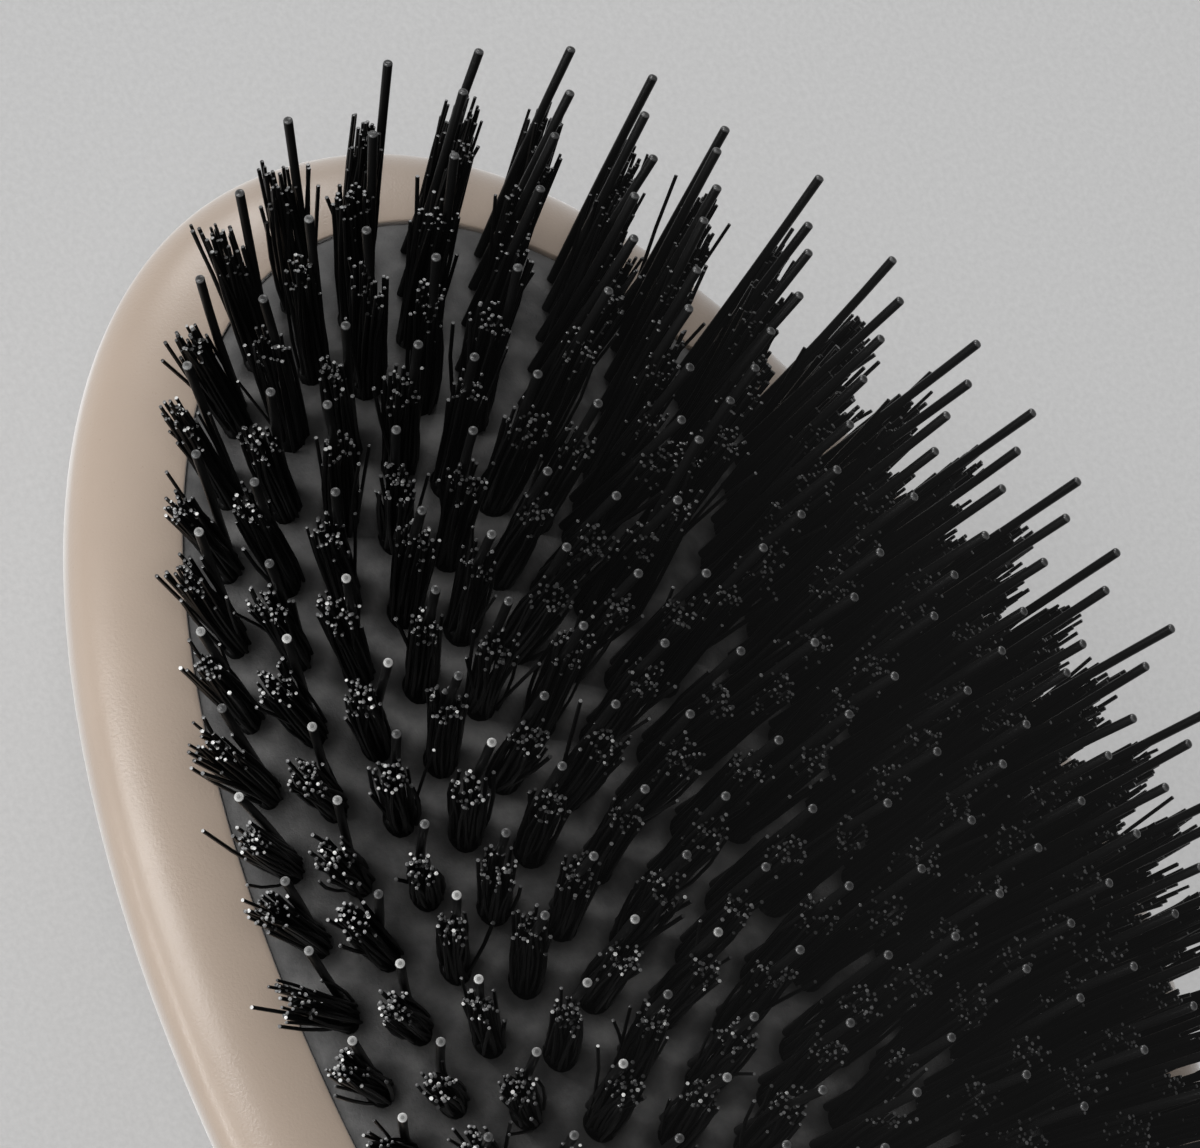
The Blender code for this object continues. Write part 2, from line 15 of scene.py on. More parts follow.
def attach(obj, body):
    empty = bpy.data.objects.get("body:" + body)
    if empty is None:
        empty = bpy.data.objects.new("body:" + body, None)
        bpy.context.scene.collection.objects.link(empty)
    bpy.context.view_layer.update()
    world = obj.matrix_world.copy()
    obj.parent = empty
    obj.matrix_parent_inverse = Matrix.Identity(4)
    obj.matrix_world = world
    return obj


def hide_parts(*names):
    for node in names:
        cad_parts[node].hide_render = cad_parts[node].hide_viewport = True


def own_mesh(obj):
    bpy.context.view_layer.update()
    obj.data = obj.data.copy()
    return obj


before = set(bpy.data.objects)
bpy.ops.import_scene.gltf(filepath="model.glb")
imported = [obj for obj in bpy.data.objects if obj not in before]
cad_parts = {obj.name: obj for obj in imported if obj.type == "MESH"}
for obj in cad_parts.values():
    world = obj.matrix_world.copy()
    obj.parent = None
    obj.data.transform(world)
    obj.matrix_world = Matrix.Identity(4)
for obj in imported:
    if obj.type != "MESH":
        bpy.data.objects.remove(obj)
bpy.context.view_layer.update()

# Plan and sections of the body, and the cushion's plan, as in the source
GAP = 0.0003
TIP_Y = 0.116
END_Y = -0.116
RIM_WIDTH = 0.0062
PAD_HALF_WIDTH = 0.027
PAD_TIP_LENGTH = 0.0525
PAD_HEEL_LENGTH = 0.038
OVAL_POWER = 2.1
WIDEST_Y = TIP_Y - RIM_WIDTH - PAD_TIP_LENGTH
HEAD_HALF_WIDTH = PAD_HALF_WIDTH + RIM_WIDTH
HEAD_TIP_LENGTH = PAD_TIP_LENGTH + RIM_WIDTH
RIM_Z = 0.0175
SIDE_Z = 0.0137
FLOOR_Z = 0.0080
SPLIT_Z = 0.0042
SHOULDER_RADIUS = 0.0093
BACK_POWER = 1.75
BACK_FLAT = 0.0008
HEEL_LENGTH = 0.0455
HEEL_END_Y = 0.034
NECK_Y = -0.012
NECK_HALF_WIDTH = 0.0078
NECK_TOP_Z = 0.0152
NECK_SIDE_Z = 0.0086
NECK_BACK_Z = 0.0010
GRIP_Y = -0.078
GRIP_HALF_WIDTH = 0.0124
GRIP_TOP_Z = 0.0160
GRIP_SIDE_Z = 0.0078
END_LENGTH = 0.020
END_TOP_Z = 0.0140
SPINE_START = 0.2
SPINE_END = 1.2
SPINE_LAG = 0.375

# Cushion, as in the source
CROWN = 0.0086
CROWN_POWER = 1.8
EDGE_DROP = 0.0003
EDGE_Z = RIM_Z - EDGE_DROP
RUBBER = 0.0016
CLOTH_THICKNESS = 0.0008
CLOTH_INSET = 0.0021

# Tufts, as in the source
ROW_COUNT = 8
FIRST_ROW_INSET = 0.00255
ROW_STEP = (PAD_HALF_WIDTH - FIRST_ROW_INSET) / (ROW_COUNT - 0.5)
TUFT_PITCH = 0.00495
OVAL_SAMPLES = 2881
BESIDE = 0.02
BUNCH_LENGTH = 0.0115
PIN_LENGTH = 0.0156
PIN_SHIFT = 0.0012
VENT_ROW = 6
VENT_RADIUS = 0.0005

# Rolled edges of the body and the rubber, and how finely their sections are cut
LIP_RADIUS = 0.00014
SEAM_ROUND = 0.00025
PAD_EDGE = 0.00008
PAD_ROUND = 0.00012
ROLL_RINGS = 7
SHOULDER_RINGS = 33
SIDE_RINGS = 17
BACK_RINGS = 33
CROWN_RINGS = 84
RUBBER_SECTIONS = 560
CLOTH_RINGS = 42
CLOTH_SECTIONS = 280
BODY_WELD = 2e-6
BODY_SHARP = 50.0
TUFT_SHARP = 50.0
SHEET_SHARP = 60.0

# Rings beside the parting line, each an inset and a rise in shares of SEAM_ROUND
SHELL_SEAM = ((0.5, 0.15), (1.0, 0.0), (3.0, 0.0), (12.0, 0.0))
COVER_SEAM = ((12.0, 0.0), (3.0, 0.0), (1.0, 0.0), (0.4, -0.2))

# The rubber's dent and collar at each bunch, its vent, its skirt's foot, the distance to a bunch
# that the skirt is given, and the cloth's flat size
DENT_DEPTH = 0.00008
DENT_RADIUS = 0.0014
COLLAR_RADIUS = 0.0012
COLLAR_HEIGHT = 0.0009
COLLAR_FOOT = 0.00025
COLLAR_RINGS = 5
COLLAR_SIDES = 16
COLLAR_TOP = 0.00002
VENT_DEPTH = 0.0009
SKIRT_TURN = 0.97
SKIRT_GAP = 0.01

# Bunches of nylon bristles with cut ends. A pair is the lowest and the highest of a random value.
BRISTLES = 48
BRISTLE_RADIUS = 0.00012
BRISTLE_RADII = (0.85, 1.2)
BRISTLE_TAPER = 0.95
BRISTLE_RINGS = 4
BRISTLE_SIDES = 6
BUNCH_SHIFT = 0.0001
BUNCH_RADIUS = 0.00104
BUNCH_FLARE = 0.00106
BUNCH_FLARES = (0.82, 1.2)
BUNCH_TRIM = 0.0006
BUNCH_LENGTHS = (-0.0004, 0.0003)
BUNCH_UNEVEN = 0.0028
UNEVEN_POWER = 1.8
BUNCH_BEND = 0.00015
BUNCH_LEAN = 0.5
BUNCH_BACK = 0.02
LEAN_ROWS = 2.2
LEAN_SPREAD = 0.09
RIGHT_TRIM = 0.0012
RIGHT_TRIM_ROWS = 2.5
ROOT_DEPTH = 0.0006
GOLDEN_ANGLE = 2.39996
SPIN_SPREAD = 0.2
TIP_WANDER = 0.0002
LOOSE_SHARE = 0.08
LOOSE_WANDER = 0.0008
SPLAY = 0.0012
SPLAYS = (0.4, 1.8)
SPLAY_POWER = 3.0
SPLAY_ROWS = 1.2
SPLAY_ALONG = 0.45
CUT_RISE = 0.00003
CUT_SPREAD = 0.00002

# Pins: one in each bunch. Each ring has a width, and each band between rings a share of painted
# highlight, the pale ring at the dome. They lean outward by PIN_LEAN, more in the outer rows and
# less on the left, and back by PIN_BACK.
PIN_RADIUS = 0.00029
PIN_SIDES = 12
PIN_SHAFT = (-ROOT_DEPTH, 0.004, 0.008, 0.012)
PIN_DOME = (0.0, 0.45, 0.8, 0.97, 1.0)
PIN_WIDTHS = (1.0, 1.0, 1.0, 1.0, 1.04, 0.98, 0.8, 0.45, 0.0001)
PIN_HIGHLIGHT = (0.0, 0.0, 0.0, 0.0, 0.55, 1.0, 0.6, 0.3)
DOME_HEIGHT = 0.55
PIN_LEAN = 0.09
PIN_OUTER = 0.2
PIN_UPRIGHT = 0.06
PIN_SPREAD = 0.08
PIN_BACK = 0.08
PIN_WANDER = 0.022
PIN_LENGTHS = 0.0002
PIN_BOW = 0.00006
# A pin's tone, with its random part, sets how bright its painted highlight ring is.
PIN_TONE = 0.6
PIN_TONES = 0.37

# The tufts' swing towards the tip, at the tip's right
SWING = 0.25
SWING_PLACE = -0.61
SWING_WIDTH = 0.3

# Camera, from the photograph's perspective. Its axis passes beside the picture's middle.
IMAGE_WIDTH = 1200
FOCAL_PIXELS = 13137.0
AXIS_PIXELS = (6.06, 7.38)
SENSOR_WIDTH = 36.0
CAMERA_PLACE = (-0.40565, -0.10626, 0.68318)
CAMERA_RIGHT = (0.8213, -0.4177, 0.3886)
CAMERA_DOWN = (-0.2537, -0.8775, -0.4070)
CAMERA_FORWARD = (0.5110, 0.2356, -0.8267)

# Lights: name, place, width and height, and watts. All are aimed at the head.
AIM = (0.0, WIDEST_Y, 0.02)
LIGHTS = (
    ("key", (-0.72, 0.5, 0.68), (0.24, 0.5), 4.5),
    ("left_fill", (-1.25, 0.1, 0.2), (1.0, 0.7), 4.1),
    ("back", (0.35, 1.1, 0.6), (0.6, 0.4), 5.0),
    ("front", (-0.56, -0.168, 0.935), (0.3, 0.3), 3.1),
    ("glint", (-0.95, -0.8, 0.16), (0.3, 0.12), 1.9),
    ("left_low", (-1.1, 0.3, 0.05), (0.5, 0.1), 2.1),
)
ROOM_COLOUR = (0.75, 0.75, 0.76, 1.0)
ROOM_STRENGTH = 0.2
TABLE_HALF = 3.0
TABLE_DROP = 0.0005

# Painted shade: how much darker the strands' colour is made towards the picture's upper right,
# where they turn from the light
SHADE_DEPTH = 0.28
SHADE_RIGHT = 0.85
SHADE_UP = 0.5
SHADE_FROM = 0.003
SHADE_TO = 0.019

# Where the painted haze, a glow on dark surfaces, starts and where it is full, along the picture's
# right
HAZE_FROM = -0.0353
HAZE_TO = -0.0053

# Colour stops: a mask's value and the colour there
BODY_STOPS = [(0.3, (0.402, 0.32, 0.257)), (0.7, (0.437, 0.35, 0.283))]
RUBBER_STOPS = [(0.36, (0.0555, 0.0545, 0.0545)), (0.66, (0.112, 0.11, 0.108))]
BRISTLE_STOPS = [(0.0, (0.0015, 0.0015, 0.0015)), (1.0, (0.006, 0.006, 0.006))]
# Painted highlights: the pale colours of the cut ends and of the pins' rings, by tone
END_HIGHLIGHT_STOPS = [(0.25, (0.01, 0.01, 0.01)), (0.75, (0.1, 0.1, 0.1)), (1.0, (0.8, 0.8, 0.78))]
FRAME_STOPS = [(0.3, (0.04, 0.04, 0.045)), (0.7, (0.06, 0.06, 0.066))]
CLOTH_STOPS = [(0.0, (0.2, 0.19, 0.17)), (1.0, (0.42, 0.4, 0.36))]
TABLE_STOPS = [(0.3, (0.21, 0.21, 0.21)), (0.7, (0.23, 0.23, 0.23))]


def ease(y, stops):
    """Runs level at each (y, value) stop and as a smoothstep, t*t*(3 - 2t), between them."""
    ys = np.array([stop[0] for stop in stops])
    values = np.array([stop[1] for stop in stops])
    index = np.clip(np.searchsorted(ys, y) - 1, 0, len(ys) - 2)
    share = np.clip((y - ys[index]) / (ys[index + 1] - ys[index]), 0.0, 1.0)
    share = share * share * (3.0 - 2.0 * share)
    return values[index] + (values[index + 1] - values[index]) * share


def oval(angle, inset):
    """The cushion's outline, |x/a|^2.1 + |y/b|^2.1 = 1, drawn in by inset.

    Angle 0 is the tip, and a quarter turn is the left side.
    """
    s, c = np.sin(angle), np.cos(angle)
    power = 2.0 / OVAL_POWER
    length = np.where(c >= 0, PAD_TIP_LENGTH, PAD_HEEL_LENGTH) - inset
    x = -(PAD_HALF_WIDTH - inset) * np.sign(s) * np.abs(s) ** power
    y = WIDEST_Y + length * np.sign(c) * np.abs(c) ** power
    return x, y


def crown_z(inset):
    """The cushion's height: edge + crown * (1 - (1 - inset/half width)^1.8)."""
    return EDGE_Z + CROWN * (1.0 - (1.0 - inset / PAD_HALF_WIDTH) ** CROWN_POWER)


def crown_slope(inset):
    """The derivative of crown_z by inset."""
    left = 1.0 - inset / PAD_HALF_WIDTH
    return CROWN * CROWN_POWER * left ** (CROWN_POWER - 1.0) / PAD_HALF_WIDTH


def half_width(y):
    """An ellipse down to the heel's end, a cubic to the neck, and smoothsteps along the handle."""
    fall = np.clip(WIDEST_Y - y, 0.0, HEEL_LENGTH)
    heel = HEAD_HALF_WIDTH * (1.0 - (fall / HEEL_LENGTH) ** 2) ** 0.5
    start_fall = WIDEST_Y - HEEL_END_Y
    start = HEAD_HALF_WIDTH * (1.0 - (start_fall / HEEL_LENGTH) ** 2) ** 0.5
    slope = HEAD_HALF_WIDTH**2 * start_fall / (HEEL_LENGTH**2 * start)
    span = HEEL_END_Y - NECK_Y
    t = np.clip((HEEL_END_Y - y) / span, 0.0, 1.0)
    blend = (2 * t**3 - 3 * t**2 + 1) * start - (t**3 - 2 * t**2 + t) * span * slope
    blend = blend + (3 * t**2 - 2 * t**3) * NECK_HALF_WIDTH
    handle = ease(y, [(GRIP_Y, GRIP_HALF_WIDTH), (NECK_Y, NECK_HALF_WIDTH)])
    return np.where(y > HEEL_END_Y, heel, np.where(y > NECK_Y, blend, handle))


def spine_y(y):
    """Where a section meets the middle plane.

    It is y itself, but near both rounded ends t of the way becomes t - 0.375 t^2.
    """
    tip_start = WIDEST_Y + SPINE_START * HEAD_TIP_LENGTH
    t = np.clip((y - tip_start) / (TIP_Y - tip_start), 0.0, 1.0)
    y_tip = tip_start + (TIP_Y - tip_start) * (t - SPINE_LAG * t**2)
    end_start = END_Y + SPINE_END * END_LENGTH
    t = np.clip((end_start - y) / (end_start - END_Y), 0.0, 1.0)
    y_end = end_start - (end_start - END_Y) * (t - SPINE_LAG * t**2)
    return np.where(y > tip_start, y_tip, np.where(y < end_start, y_end, y))


class Stations:
    """Section lines of the body's right half, from the tip to the handle's end."""

    def __init__(self):
        power = 2.0 / OVAL_POWER
        angle = np.linspace(0.0, math.pi / 2, 121)
        tip_x = HEAD_HALF_WIDTH * np.sin(angle) ** power
        tip_y = WIDEST_Y + HEAD_TIP_LENGTH * np.cos(angle) ** power
        angle = np.linspace(0.0, math.pi / 2, 101)[1:]
        heel_y = WIDEST_Y - (PAD_HEEL_LENGTH + LIP_RADIUS) * np.sin(angle) ** power
        self.head = len(tip_y) + len(heel_y)
        side_y = np.linspace(heel_y[-1], END_Y + END_LENGTH, 141)[1:]
        angle = np.linspace(0.0, math.pi / 2, 41)[1:]
        end_x = half_width(np.array(END_Y + END_LENGTH)) * np.cos(angle)
        end_y = END_Y + END_LENGTH * (1.0 - np.sin(angle))
        self.x = np.concatenate([tip_x, half_width(heel_y), half_width(side_y), end_x])
        self.y = np.concatenate([tip_y, heel_y, side_y, end_y])
        self.x[0] = self.x[-1] = 0.0
        y = self.y
        shoulder = 1.0 - RIM_WIDTH / SHOULDER_RADIUS
        head_top = SIDE_Z + (RIM_Z - SIDE_Z) / math.sqrt(1.0 - shoulder**2)
        top_stops = [(END_Y, END_TOP_Z), (GRIP_Y, GRIP_TOP_Z)]
        top_stops += [(NECK_Y, NECK_TOP_Z), (HEEL_END_Y, head_top)]
        self.top = ease(y, top_stops)
        self.side = ease(y, [(GRIP_Y, GRIP_SIDE_Z), (NECK_Y, NECK_SIDE_Z), (HEEL_END_Y, SIDE_Z)])
        self.back = ease(y, [(GRIP_Y, -BACK_FLAT), (NECK_Y, NECK_BACK_Z), (HEEL_END_Y, -BACK_FLAT)])
        self.shoulder = ease(y, [(NECK_Y, 2.0 * SHOULDER_RADIUS), (HEEL_END_Y, SHOULDER_RADIUS)])
        self.spine = np.stack([np.zeros_like(y), spine_y(y)], axis=1)
        self.reach = np.stack([self.x, y], axis=1) - self.spine
        self.length = np.linalg.norm(self.reach, axis=1)
        self.lip = self.lip_share()

    def lip_share(self):
        """Share of each line where it crosses the recess's lip, by halving the oval's equation."""
        low, high = np.zeros_like(self.y), np.ones_like(self.y)
        for _ in range(50):
            middle = (low + high) / 2
            point = self.spine + self.reach * middle[:, None]
            fall = point[:, 1] - WIDEST_Y
            length = np.where(fall > 0, PAD_TIP_LENGTH, PAD_HEEL_LENGTH) + LIP_RADIUS
            inside = np.abs(point[:, 0] / (PAD_HALF_WIDTH + LIP_RADIUS)) ** OVAL_POWER
            inside = inside + np.abs(fall / length) ** OVAL_POWER < 1.0
            low, high = np.where(inside, middle, low), np.where(inside, high, middle)
        low[self.head - 1 :] = 0.0
        return low

    def front_height(self, share):
        """Side + (top - side) * sqrt(1 - (1 - depth)^2).

        The depth is the distance from the edge over the shoulder's radius, and 1 at the most.
        """
        radius = np.minimum(self.shoulder, self.length)[:, None]
        depth = np.clip((1.0 - share) * self.length[:, None] / radius, 0.0, 1.0)
        rise = (self.top - self.side)[:, None]
        return self.side[:, None] + rise * np.sqrt(1.0 - (1.0 - depth) ** 2)

    def back_height(self, share):
        """Side - (side - back) * (1 - share^1.75)^(1/1.75), cut off at the resting plane."""
        fall = (1.0 - share**BACK_POWER) ** (1.0 / BACK_POWER)
        return np.maximum(self.side[:, None] - (self.side - self.back)[:, None] * fall, 0.0)

    def back_share(self, z):
        """The inverse of back_height."""
        fall = np.clip((self.side - z) / (self.side - self.back), 0.0, 1.0)
        return (1.0 - fall**BACK_POWER) ** (1.0 / BACK_POWER)

    def points(self, share, z):
        plan = self.spine[:, None, :] + self.reach[:, None, :] * share[:, :, None]
        return np.concatenate([plan, z[:, :, None]], axis=2)


def grid_faces(rows, columns, start=0, wrap=False):
    """Quads of a grid of points, row by row; a wrapped grid's last row joins its first."""
    count = rows if wrap else rows - 1
    a = (np.arange(count)[:, None] * columns + np.arange(columns - 1)[None, :]).ravel()
    b = ((np.arange(count)[:, None] + 1) % rows * columns + np.arange(columns - 1)[None, :]).ravel()
    return np.stack([a, b, b + 1, a + 1], axis=1) + start


def add_piece(name, points, faces, body, smooth_angle, triangles=None, weld=None):
    """A mesh object from whole arrays of points, quads and, where given, triangles."""
    mesh = bpy.data.meshes.new(name)
    quads = len(faces)
    extra = 0 if triangles is None else len(triangles)
    mesh.vertices.add(len(points))
    mesh.vertices.foreach_set("co", np.ascontiguousarray(points, dtype=np.float32).ravel())
    loops = faces.ravel()
    starts = np.arange(quads) * 4
    if extra:
        loops = np.concatenate([loops, triangles.ravel()])
        starts = np.concatenate([starts, quads * 4 + np.arange(extra) * 3])
    mesh.loops.add(len(loops))
    mesh.loops.foreach_set("vertex_index", loops.astype(np.int32))
    mesh.polygons.add(len(starts))
    mesh.polygons.foreach_set("loop_start", starts.astype(np.int32))
    mesh.update(calc_edges=True)
    if weld is not None:
        work = bmesh.new()
        work.from_mesh(mesh)
        bmesh.ops.remove_doubles(work, verts=work.verts, dist=weld)
        bmesh.ops.dissolve_degenerate(work, edges=work.edges, dist=weld / 10)
        bmesh.ops.recalc_face_normals(work, faces=work.faces)
        work.to_mesh(mesh)
        work.free()
    mesh.validate()
    mesh.shade_smooth()
    mesh.set_sharp_from_angle(angle=math.radians(smooth_angle))
    obj = bpy.data.objects.new(name, mesh)
    bpy.context.scene.collection.objects.link(obj)
    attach(obj, body)
    return obj


def mirrored(points, faces):
    """The right half and its mirror image, whose faces are turned round."""
    left = points * np.array([-1.0, 1.0, 1.0])
    turned = faces[:, ::-1] + len(points)
    return np.concatenate([points, left]), np.concatenate([faces, turned])


def join_grids(grids):
    """One array of points and one of faces from several grids of points."""
    points, faces, start = [], [], 0
    for grid in grids:
        rows, columns = grid.shape[:2]
        points.append(grid.reshape(-1, 3))
        faces.append(grid_faces(rows, columns, start))
        start += rows * columns
    return np.concatenate(points), np.concatenate(faces)


def seam_rings(edge, inward, level, steps):
    """Rings beside the parting line: an edge drawn in along the section lines and set level."""
    inset, rise = SEAM_ROUND * np.array(steps).T
    rings = np.repeat(edge, len(steps), axis=1)
    rings[:, :, :2] -= inward[:, None, :] * inset[None, :, None]
    rings[:, :, 2] = level + rise[None, :]
    rings[:, :, 0] = np.maximum(rings[:, :, 0], 0.0)
    return rings


def make_recess(lip):
    """The rolled lip along the oval, a quarter circle in section, and the recess's wall and floor.

    The lip's points come first, and the floor ends in the middle plane.
    """
    along = np.gradient(lip[:, :2], axis=0)
    along[0] = (1.0, 0.0)
    along[-1] = (-1.0, 0.0)
    along = along / np.linalg.norm(along, axis=1)[:, None]
    normal = np.stack([along[:, 1], -along[:, 0]], axis=1)
    turn = np.linspace(0.0, math.pi / 2, ROLL_RINGS)
    roll = np.repeat(lip[:, None, :], ROLL_RINGS, axis=1)
    roll[:, :, :2] += normal[:, None, :] * (LIP_RADIUS * np.sin(turn))[None, :, None]
    roll[:, :, 2] -= (LIP_RADIUS * (1.0 - np.cos(turn)))[None, :]
    wall = roll[:, -1:, :].copy()
    wall[:, :, 2] = FLOOR_Z
    middle = wall.copy()
    middle[:, :, 0] = 0.0
    return np.concatenate([roll, wall, middle], axis=1)


def make_body():
    """The shell's outside, its rolled lip and recess, and the back cover below the parting line."""
    line = Stations()
    inward = line.reach / np.maximum(line.length, 1e-9)[:, None]
    # From the lip to the edge: even shares of the shoulder's arc.
    turn = np.sin(np.linspace(0.0, math.pi / 2, SHOULDER_RINGS))[None, :]
    share = line.lip[:, None] + (1.0 - line.lip[:, None]) * turn
    top = line.points(share, line.front_height(share))
    # From the edge down to the parting line, its rounded edge and the flat face inside it.
    seam_high = SPLIT_Z + GAP / 2
    seam_share = line.back_share(seam_high + SEAM_ROUND)[:, None]
    down = np.sin(np.linspace(math.pi / 2, 0.0, SIDE_RINGS))[None, :]
    share = seam_share + (1.0 - seam_share) * down
    side = line.points(share, line.back_height(share))
    foot = seam_rings(side[:, -1:, :], inward, seam_high, SHELL_SEAM)
    outside = np.concatenate([top, side[:, 1:, :], foot], axis=1)
    recess = make_recess(top[: line.head, 0, :])
    points, faces = mirrored(*join_grids([outside, recess]))
    shell = add_piece("body_shell", points, faces, "brush_body", BODY_SHARP, weld=BODY_WELD)
    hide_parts("front_shell")
    # The back cover: its rounded edge at the parting line, then down to the resting plane.
    seam_low = SPLIT_Z - GAP / 2
    seam_share = line.back_share(seam_low - SEAM_ROUND)[:, None]
    down = np.cos(np.linspace(0.0, math.pi / 2, BACK_RINGS))[None, :]
    share = seam_share * down
    lower = line.points(share, line.back_height(share))
    edge = seam_rings(lower[:, :1, :], inward, seam_low, COVER_SEAM)
    points, faces = mirrored(*join_grids([np.concatenate([edge, lower], axis=1)]))
    cover = add_piece("back_shell", points, faces, "brush_body", BODY_SHARP, weld=BODY_WELD)
    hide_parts("back_cover")
    return shell, cover


def unit(vectors):
    return vectors / np.linalg.norm(vectors, axis=-1, keepdims=True)


def square_to(axis):
    """Two unit vectors square to each axis and to each other."""
    side = unit(np.cross(axis, np.array([0.31, 0.72, 0.11])))
    return side, np.cross(axis, side)


def circle_of(first, second, sides):
    """first * cos + second * sin at even turns, with the shape (strands, 1, sides, 3)."""
    turn = np.arange(sides) * 2.0 * math.pi / sides
    circle = first[:, None, None] * np.cos(turn)[None, None, :, None]
    return circle + second[:, None, None] * np.sin(turn)[None, None, :, None]


class Row:
    """One oval of tufts, even along it and half a pitch out of step with the rows beside it."""

    def __init__(self, row):
        self.row = row
        self.inset = FIRST_ROW_INSET + row * ROW_STEP
        fine = np.linspace(0.0, 2.0 * math.pi, OVAL_SAMPLES)
        x, y = oval(fine, self.inset)
        arc = np.concatenate([[0.0], np.cumsum(np.hypot(np.diff(x), np.diff(y)))])
        left = np.interp(math.pi / 2, fine, arc)
        self.count = 4 * round(arc[-1] / (4 * TUFT_PITCH))
        pitch = arc[-1] / self.count

        def place_at(place):
            return np.interp((left + (place + 0.5 * (row % 2)) * pitch) % arc[-1], arc, fine)

        self.place_at = place_at
        self.angle = place_at(np.arange(self.count))
        x, y = oval(self.angle, self.inset)
        self.root = np.stack([x, y, np.full_like(x, crown_z(self.inset))], axis=1)
        ahead = np.stack(oval(place_at(np.arange(self.count) + BESIDE), self.inset), axis=1)
        behind = np.stack(oval(place_at(np.arange(self.count) - BESIDE), self.inset), axis=1)
        along = np.zeros((self.count, 3))
        along[:, :2] = ahead - behind
        along /= np.linalg.norm(along, axis=1)[:, None]
        self.outward = np.stack([along[:, 1], -along[:, 0], np.zeros(self.count)], axis=1)
        self.along = np.where(along[:, 1:2] < 0, -along, along)
        self.bunch_root = self.root - self.along * BUNCH_SHIFT
        self.side = np.abs(self.outward[:, 0])
        self.left = np.maximum(-self.outward[:, 0], 0.0)
        self.right = np.maximum(self.outward[:, 0], 0.0)
        # Painted shade: a share from the picture's lower left to its upper right darkens the
        # strands' colour.
        up_right = SHADE_RIGHT * np.array(CAMERA_RIGHT) - SHADE_UP * np.array(CAMERA_DOWN)
        share = (self.root @ up_right - SHADE_FROM) / (SHADE_TO - SHADE_FROM)
        self.painted_shade = 1.0 - SHADE_DEPTH * np.clip(share, 0.0, 1.0)
        self.outer = BUNCH_LEAN * math.exp(-((row / LEAN_ROWS) ** 2))
        turn = (self.angle + math.pi) % (2.0 * math.pi) - math.pi
        self.swing = SWING * np.exp(-(((turn - SWING_PLACE) / SWING_WIDTH) ** 2))

    def leaning(self, extra, forward):
        """Unit directions of z + outward * slope * (1 + extra * |outward x|) + along * forward.

        The swing at the tip's right is added to forward.
        """
        slope = crown_slope(self.inset) * (1.0 + extra * self.side)
        ahead = self.along * (self.swing + forward)[:, None]
        return unit(np.array([0.0, 0.0, 1.0]) + self.outward * slope[:, None] + ahead)


def strand_grid(foot, tip, bend, radius):
    """Tubes from foot to tip, bowed by bend * 4t(1 - t): rings of points round each middle line.

    foot, tip and bend have the shape (strands, 3), and the result (strands, rings, sides, 3).
    """
    t = np.linspace(0.0, 1.0, BRISTLE_RINGS)[None, :, None]
    middle = foot[:, None] + (tip - foot)[:, None] * t + bend[:, None] * 4.0 * t * (1.0 - t)
    circle = circle_of(*square_to(unit(tip - foot)), BRISTLE_SIDES)
    width = radius[:, None, None] * (1.0 + (BRISTLE_TAPER - 1.0) * t)
    return middle[:, :, None] + circle * width[..., None]


def tube_faces(strands, rings, sides):
    """Quads round each tube, as indices into its rings of points."""
    ranges = np.arange(strands), np.arange(rings - 1), np.arange(sides)
    s, r, k = np.meshgrid(*ranges, indexing="ij")
    base = s * rings * sides
    a = base + r * sides + k
    b = base + r * sides + (k + 1) % sides
    return np.stack([a, b, b + sides, a + sides], axis=-1).reshape(-1, 4)


class Gathered:
    """Points, quads and triangles of sets of tubes, with a cut-end share, which marks painted
    highlights, and a tone, which carries painted shade, per face.
    """

    def __init__(self):
        self.points, self.quads, self.triangles = [], [], []
        self.quad_values, self.triangle_values = [], []
        self.count = 0

    def add(self, points, quads, values, triangles=None, triangle_values=None):
        self.points.append(points.reshape(-1, 3))
        self.quads.append(quads + self.count)
        self.quad_values.append(np.stack(values))
        if triangles is not None:
            self.triangles.append(triangles + self.count)
            self.triangle_values.append(np.stack(triangle_values))
        self.count += len(self.points[-1])


def bristle_tips(line, up, disc, chance):
    """Each bristle's tip: its place in a disc like the foot's, and up by the bunch's reach.

    One in twelve is loose, and the outer rows on the left fan outward. The reach is the bunch's
    length less a power of a random number, and less still in the outer rows on the right.
    """
    count, row = line.count, line.row
    each = (count, BRISTLES, 1)
    wander = chance.normal(0.0, TIP_WANDER, (count, BRISTLES, 3))
    loose = chance.random(each) < LOOSE_SHARE
    loose = loose * chance.normal(0.0, LOOSE_WANDER, (count, BRISTLES, 3))
    fan = SPLAY * chance.random(each) ** SPLAY_POWER * chance.uniform(*SPLAYS, (count, 1, 1))
    fan = fan * math.exp(-row / SPLAY_ROWS) * line.left[:, None, None]
    aside = chance.normal(0.0, SPLAY_ALONG, each) * line.along[:, None]
    fan = fan * (line.outward[:, None] + aside)
    reach = BUNCH_LENGTH - BUNCH_TRIM + chance.uniform(*BUNCH_LENGTHS, (count, 1, 1))
    reach = reach - BUNCH_UNEVEN * chance.random(each) ** UNEVEN_POWER
    right = math.exp(-((row / RIGHT_TRIM_ROWS) ** 2)) * line.right[:, None, None]
    reach = reach - RIGHT_TRIM * right
    flare = BUNCH_FLARE * chance.uniform(*BUNCH_FLARES, (count, 1, 1))
    return line.bunch_root[:, None] + disc * flare + wander + loose + fan + up * reach


